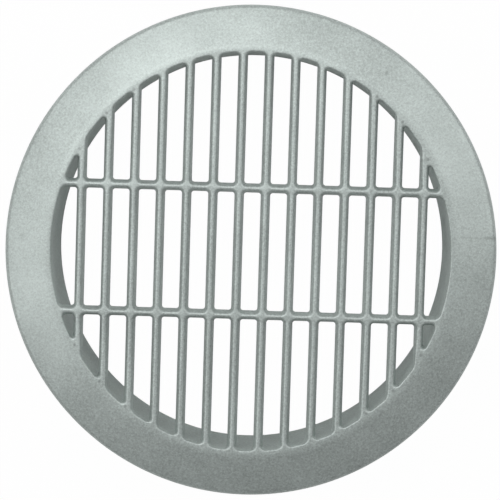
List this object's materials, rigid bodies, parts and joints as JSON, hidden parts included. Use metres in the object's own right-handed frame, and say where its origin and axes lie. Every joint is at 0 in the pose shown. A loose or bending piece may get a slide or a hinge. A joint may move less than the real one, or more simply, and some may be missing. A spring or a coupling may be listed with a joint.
{
  "type": "vent grommet",
  "caption": "Round push-in vent grommet: a conical flange and a plain collar for a panel hole, with a grille of drafted, round-fronted bars moulded across the opening.",
  "frame": {"origin": "on the collar axis, in the plane of the flange seat that meets the panel", "axes": "+Z along the collar axis out of the front face, +Y along the upright bars, +X along the cross bars"},
  "size_m": [0.075, 0.075, 0.0148],
  "materials": {
    "silver_grey_plastic": "satin, silver-grey with metallic pigment, fine moulded grain"
  },
  "bodies": {
    "root": {"vent_grommet": "silver_grey_plastic"}
  },
  "joints": []
}
